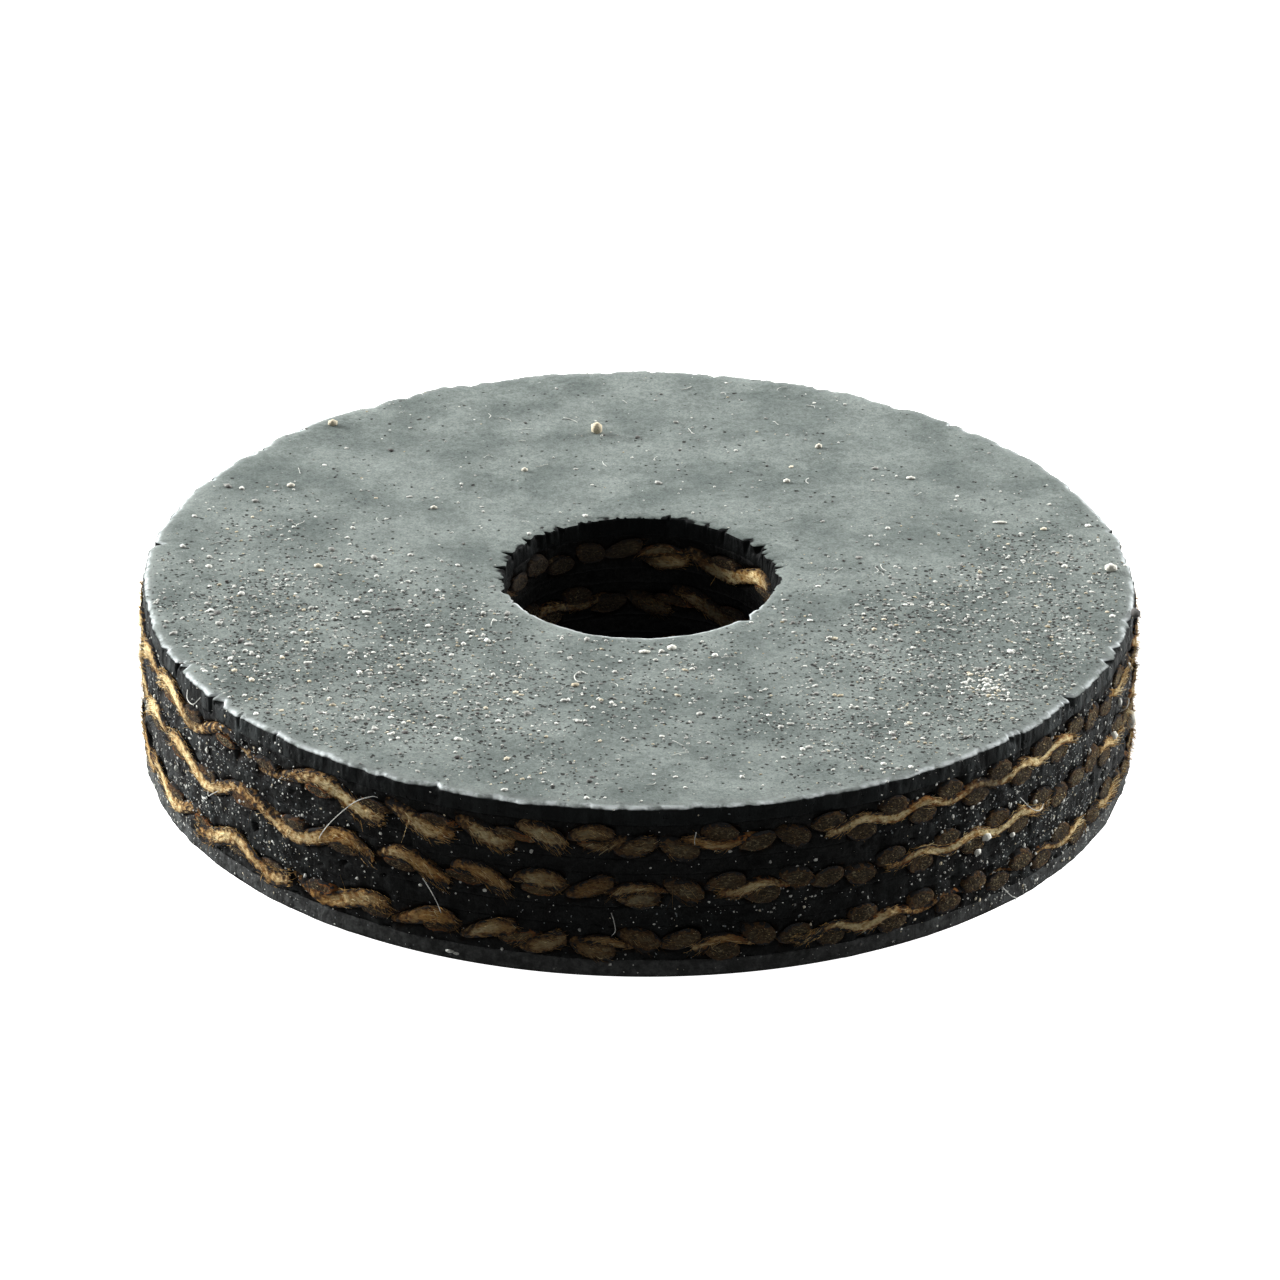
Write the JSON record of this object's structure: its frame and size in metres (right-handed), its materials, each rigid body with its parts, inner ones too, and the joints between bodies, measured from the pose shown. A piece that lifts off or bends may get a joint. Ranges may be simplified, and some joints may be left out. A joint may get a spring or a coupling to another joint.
{
  "type": "cloth-ply rubber wheel",
  "caption": "Flat round wheel punched from black rubber sheet with woven cotton plies inside, with a plain round bore for an arbor; the yarn ends show at its rim.",
  "frame": {"origin": "where the bore axis meets the bottom face", "axes": "+Z along the bore axis, from the bottom face to the top face; the disc lies flat in X and Y"},
  "size_m": [0.035, 0.035, 0.0065],
  "materials": {
    "cover_rubber": "matte black rubber with a dusty grey bloom",
    "skim_rubber": "satin black cut rubber",
    "friction_rubber": "matte black cut rubber",
    "warp_cotton": "tan plied cotton yarn, frayed where it is cut",
    "weft_cotton": "brown plied cotton yarn, stained by rubber"
  },
  "bodies": {
    "root": {"top_cover": "cover_rubber", "upper_ply_friction": "friction_rubber", "upper_ply_warp": "warp_cotton", "upper_ply_weft": "weft_cotton", "upper_skim": "skim_rubber", "middle_ply_friction": "friction_rubber", "middle_ply_warp": "warp_cotton", "middle_ply_weft": "weft_cotton", "lower_skim": "skim_rubber", "lower_ply_friction": "friction_rubber", "lower_ply_warp": "warp_cotton", "lower_ply_weft": "weft_cotton", "bottom_cover": "cover_rubber"}
  },
  "joints": []
}
